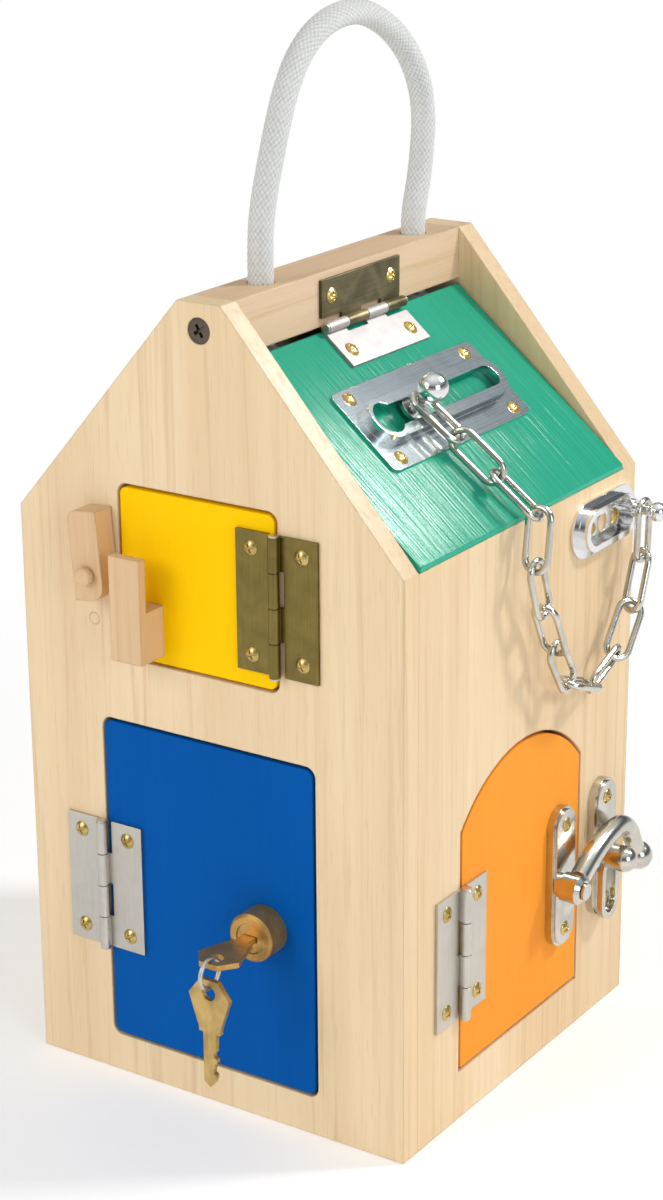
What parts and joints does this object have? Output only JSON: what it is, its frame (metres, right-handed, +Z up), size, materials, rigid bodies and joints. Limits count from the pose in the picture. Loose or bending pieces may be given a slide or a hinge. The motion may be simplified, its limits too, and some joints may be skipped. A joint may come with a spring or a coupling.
{
  "type": "wooden lock house",
  "caption": "Wooden house with a rope handle and coloured doors, each closed by its own fastening: wooden latch, cam lock, hook latch and guard chain.",
  "frame": {"origin": "centre of the footprint, on the surface that the house stands on", "axes": "+Z up; the front with the yellow and blue doors faces -Y; the wall with the arched door faces +X"},
  "size_m": [0.1783, 0.1997, 0.3845],
  "materials": {
    "wood": "pale smooth softwood with a satin clear coat",
    "yellow_paint": "warm yellow paint on wood, satin",
    "blue_paint": "deep blue paint on wood, satin",
    "orange_paint": "light orange paint on wood, satin",
    "green_paint": "sea green paint on wood, brushed on",
    "bronze": "dark antique bronze",
    "nickel": "satin nickel",
    "chrome": "bright plated metal",
    "brass": "polished brass",
    "dark_steel": "dark browned steel",
    "rope": "off-white braided cotton"
  },
  "bodies": {
    "house": {"front_panel": "wood", "back_panel": "wood", "right_wall": "wood", "left_wall": "wood", "floor_panel": "wood", "mid_shelf": "wood", "left_roof_panel": "wood", "ridge_beam": "wood", "ridge_screws": "dark_steel", "front_plug": "wood", "door_stops": "wood", "carry_rope": "rope", "rope_knots": "rope", "yellow_frame_leaf": "bronze", "blue_frame_leaf": "nickel", "orange_frame_leaf": "nickel", "roof_beam_leaf": "bronze", "hinge_pins": "nickel", "frame_screws": "brass", "latch_peg": "wood", "jamb_plate": "chrome", "chain_bracket": "chrome", "bracket_stud": "chrome"},
    "yellow_leaf": {"yellow_door": "yellow_paint", "yellow_door_leaf": "bronze", "yellow_door_screws": "brass", "latch_keeper": "wood"},
    "latch": {"latch_bar": "wood"},
    "blue_leaf": {"blue_door": "blue_paint", "blue_door_leaf": "nickel", "blue_door_screws": "brass", "lock_body": "brass", "lock_nut": "nickel"},
    "lock_core": {"lock_plug": "brass", "lock_cam": "nickel", "cam_screw": "nickel", "lock_key": "brass"},
    "ring": {"key_ring": "nickel"},
    "second_key": {"spare_key": "brass"},
    "orange_leaf": {"orange_door": "orange_paint", "orange_door_leaf": "nickel", "orange_door_screws": "brass", "hook_plate": "chrome"},
    "hook": {"hook_lever": "chrome"},
    "roof_leaf": {"roof_door": "green_paint", "roof_door_leaf": "nickel", "roof_door_screws": "brass", "guard_plate": "chrome"},
    "knob": {"chain_knob": "chrome"},
    "upper_chain": {"upper_links": "chrome"},
    "link_4": {"chain_link_4": "chrome"},
    "link_5": {"chain_link_5": "chrome"},
    "link_6": {"chain_link_6": "chrome"},
    "link_7": {"chain_link_7": "chrome"},
    "link_8": {"chain_link_8": "chrome"},
    "link_9": {"chain_link_9": "chrome"},
    "link_10": {"chain_link_10": "chrome"},
    "link_11": {"chain_link_11": "chrome"},
    "link_12": {"chain_link_12": "chrome"}
  },
  "joints": [
    {"name": "yellow_hinge", "type": "hinge", "parent": "house", "child": "yellow_leaf", "pos_m": [0.0305, -0.0827, 0.197], "axis": [0, 0, 1], "range_deg": [0, 100]},
    {"name": "latch_turn", "type": "hinge", "parent": "house", "child": "latch", "pos_m": [-0.0435, -0.0849, 0.197], "axis": [0, 1, 0], "range_deg": [0, 85]},
    {"name": "blue_hinge", "type": "hinge", "parent": "house", "child": "blue_leaf", "pos_m": [-0.0468, -0.0827, 0.076], "axis": [0, 0, -1], "range_deg": [0, 110]},
    {"name": "lock_turn", "type": "hinge", "parent": "blue_leaf", "child": "lock_core", "pos_m": [0.023, -0.08, 0.0758], "axis": [0, 1, 0], "range_deg": [0, 90]},
    {"name": "ring_swing", "type": "hinge", "parent": "lock_core", "child": "ring", "pos_m": [0.023, -0.1135, 0.0758], "axis": [1, 0, 0], "range_deg": [-10, 5]},
    {"name": "second_key_swing", "type": "hinge", "parent": "ring", "child": "second_key", "pos_m": [0.023, -0.1135, 0.0673], "axis": [0, 1, 0], "range_deg": [-30, 30]},
    {"name": "orange_hinge", "type": "hinge", "parent": "house", "child": "orange_leaf", "pos_m": [0.0827, -0.0433, 0.0665], "axis": [0, 0, -1], "range_deg": [0, 110]},
    {"name": "hook_turn", "type": "hinge", "parent": "orange_leaf", "child": "hook", "pos_m": [0.0903, 0.0218, 0.0675], "axis": [1, 0, 0], "range_deg": [0, 100]},
    {"name": "roof_hinge", "type": "hinge", "parent": "house", "child": "roof_leaf", "pos_m": [0.0115, 0.003, 0.2775], "axis": [0, -1, 0], "range_deg": [0, 52]},
    {"name": "knob_slide", "type": "slide", "parent": "roof_leaf", "child": "knob", "axis": [0, 1, 0], "range_m": [0, 0.012]},
    {"name": "upper_chain_swing", "type": "hinge", "parent": "knob", "child": "upper_chain", "pos_m": [0.04562, -0.014, 0.25455], "axis": [0.6428, 0, 0.766], "range_deg": [-12.1, 0.05]},
    {"name": "link_12_turn", "type": "hinge", "parent": "house", "child": "link_12", "pos_m": [0.0891, 0.0705, 0.2005], "axis": [-1, 0, 0], "range_deg": [0, 91.84]},
    {"name": "link_11_turn", "type": "hinge", "parent": "link_12", "child": "link_11", "pos_m": [0.0891, 0.06984, 0.18321], "axis": [0.7642, -0.5834, -0.2749], "range_deg": [0, 41.99]},
    {"name": "link_10_turn", "type": "hinge", "parent": "link_11", "child": "link_10", "pos_m": [0.0891, 0.06303, 0.16547], "axis": [-0.9525, -0.3026, -0.0345], "range_deg": [0, 19.64]},
    {"name": "link_9_turn", "type": "hinge", "parent": "link_10", "child": "link_9", "pos_m": [0.0891, 0.05133, 0.1505], "axis": [0.1354, 0.97, -0.2018], "range_deg": [0, 36.63]},
    {"name": "link_8_turn", "type": "hinge", "parent": "link_9", "child": "link_8", "pos_m": [0.0891, 0.03348, 0.144], "axis": [0.4455, 0.866, 0.2269], "range_deg": [0, 52.72]},
    {"name": "link_7_turn", "type": "hinge", "parent": "link_8", "child": "link_7", "pos_m": [0.0891, 0.01562, 0.1505], "axis": [0.239, 0.0847, 0.9673], "range_deg": [0, 42.41]},
    {"name": "link_6_turn", "type": "hinge", "parent": "link_7", "child": "link_6", "pos_m": [0.0891, 0.00527, 0.16644], "axis": [-0.4667, -0.6512, 0.5984], "range_deg": [0, 34.93]},
    {"name": "link_5_turn", "type": "hinge", "parent": "link_6", "child": "link_5", "pos_m": [0.0891, -0.00335, 0.18337], "axis": [-0.6377, -0.7435, 0.2014], "range_deg": [0, 35.72]},
    {"name": "link_4_turn", "type": "hinge", "parent": "link_5", "child": "link_4", "pos_m": [0.0891, -0.00985, 0.20122], "axis": [0.3866, -0.119, -0.9145], "range_deg": [0, 37.81]}
  ],
  "couplings": [
    {"joint": "upper_chain_swing", "follows": "knob_slide", "rad_per_m": -17.528},
    {"joint": "link_12_turn", "follows": "roof_hinge", "ratio": 1.7651},
    {"joint": "link_11_turn", "follows": "roof_hinge", "ratio": 0.80662},
    {"joint": "link_10_turn", "follows": "roof_hinge", "ratio": 0.37678},
    {"joint": "link_9_turn", "follows": "roof_hinge", "ratio": 0.70345},
    {"joint": "link_8_turn", "follows": "roof_hinge", "ratio": 1.0129},
    {"joint": "link_7_turn", "follows": "roof_hinge", "ratio": 0.81466},
    {"joint": "link_6_turn", "follows": "roof_hinge", "ratio": 0.67082},
    {"joint": "link_5_turn", "follows": "roof_hinge", "ratio": 0.686},
    {"joint": "link_4_turn", "follows": "roof_hinge", "ratio": 0.72624}
  ]
}
